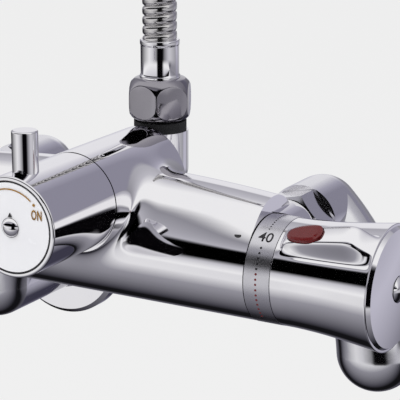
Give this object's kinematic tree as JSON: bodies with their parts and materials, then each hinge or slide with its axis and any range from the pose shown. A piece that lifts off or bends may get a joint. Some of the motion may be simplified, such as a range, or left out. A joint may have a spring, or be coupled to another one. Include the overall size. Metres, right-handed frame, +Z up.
{
  "type": "shower mixer",
  "caption": "Wall-mounted chrome bar shower mixer with a front flow knob and lever, a temperature knob with safety button, cranked wall legs and an upright hose.",
  "frame": {"origin": "on the wall plane, midway between the two threaded wall connectors", "axes": "+X along the bar to the temperature knob, +Y into the wall, +Z up"},
  "size_m": [0.2765, 0.2106, 0.3132],
  "materials": {
    "chrome": "polished chrome plate",
    "satin_chrome": "satin chrome plate",
    "dark_seal": "black rubber",
    "dial_white": "white gloss",
    "dial_black": "black gloss",
    "button_red": "dark red gloss",
    "brass": "machined brass",
    "ceramic": "lapped ceramic",
    "spring_steel": "bright spring wire",
    "cartridge_plastic": "moulded plastic",
    "copper": "copper capsule"
  },
  "bodies": {
    "mixer": {"mixer_body": "chrome", "left_end_cap": "chrome", "outlet_elbow": "chrome", "elbow_seal": "dark_seal", "neck_ring": "dark_seal", "hose_washer": "dark_seal", "hose_nut": "chrome", "hose_ferrule": "chrome", "hose_tube": "chrome", "upper_cone": "chrome", "flow_cartridge": "cartridge_plastic", "flow_fixed_disc": "ceramic", "flow_nut": "brass", "flow_seal": "dark_seal", "cartridge_seal": "dark_seal", "cartridge_housing": "cartridge_plastic", "cartridge_nut": "brass", "return_spring": "spring_steel", "left_union_nut": "chrome", "left_inlet_washer": "dark_seal", "left_wall_leg": "chrome", "left_check_valve_body": "cartridge_plastic", "left_check_spring": "spring_steel", "left_wall_flange": "chrome", "left_wall_seal": "dark_seal", "right_union_nut": "chrome", "right_inlet_washer": "dark_seal", "right_wall_leg": "chrome", "right_check_valve_body": "cartridge_plastic", "right_check_spring": "spring_steel", "right_wall_flange": "chrome", "right_wall_seal": "dark_seal"},
    "flow_control": {"flow_knob": "chrome", "lever_pin": "chrome", "dial_ring": "dial_black", "dial_plate": "dial_white", "dial_screw": "chrome", "flow_stem": "brass", "flow_moving_disc": "ceramic"},
    "temperature_control": {"temperature_knob": "chrome", "scale_ring": "satin_chrome", "end_cap": "chrome", "knob_screw": "chrome", "mixing_spindle": "brass", "button_spring": "spring_steel"},
    "button": {"safety_button": "button_red"},
    "piston": {"mixing_piston": "cartridge_plastic", "wax_element": "copper"},
    "left_poppet": {"left_check_poppet": "cartridge_plastic"},
    "right_poppet": {"right_check_poppet": "cartridge_plastic"}
  },
  "joints": [
    {"name": "flow_turn", "type": "hinge", "parent": "mixer", "child": "flow_control", "pos_m": [0, -0.18, 0.0743], "axis": [0, 1, 0], "range_deg": [-60, 60]},
    {"name": "temperature_turn", "type": "hinge", "parent": "mixer", "child": "temperature_control", "pos_m": [0.11, -0.122, 0.0504], "axis": [1, 0, 0], "range_deg": [-160, 60]},
    {"name": "button_press", "type": "slide", "parent": "temperature_control", "child": "button", "axis": [0, 0.6018, -0.7986], "range_m": [0, 0.0015], "stiffness_N_per_m": 300, "springref_m": -0.001, "deforming": ["button_spring"]},
    {"name": "piston_slide", "type": "slide", "parent": "mixer", "child": "piston", "axis": [1, 0, 0], "range_m": [-0.0013, 0.0005], "deforming": ["return_spring"]},
    {"name": "left_check_open", "type": "slide", "parent": "mixer", "child": "left_poppet", "axis": [0, -1, 0], "range_m": [0, 0.0025], "stiffness_N_per_m": 100, "springref_m": -0.002, "deforming": ["left_check_spring"]},
    {"name": "right_check_open", "type": "slide", "parent": "mixer", "child": "right_poppet", "axis": [0, -1, 0], "range_m": [0, 0.0025], "stiffness_N_per_m": 100, "springref_m": -0.002, "deforming": ["right_check_spring"]}
  ],
  "couplings": [
    {"joint": "piston_slide", "follows": "temperature_turn", "m_per_rad": 0.00045}
  ]
}
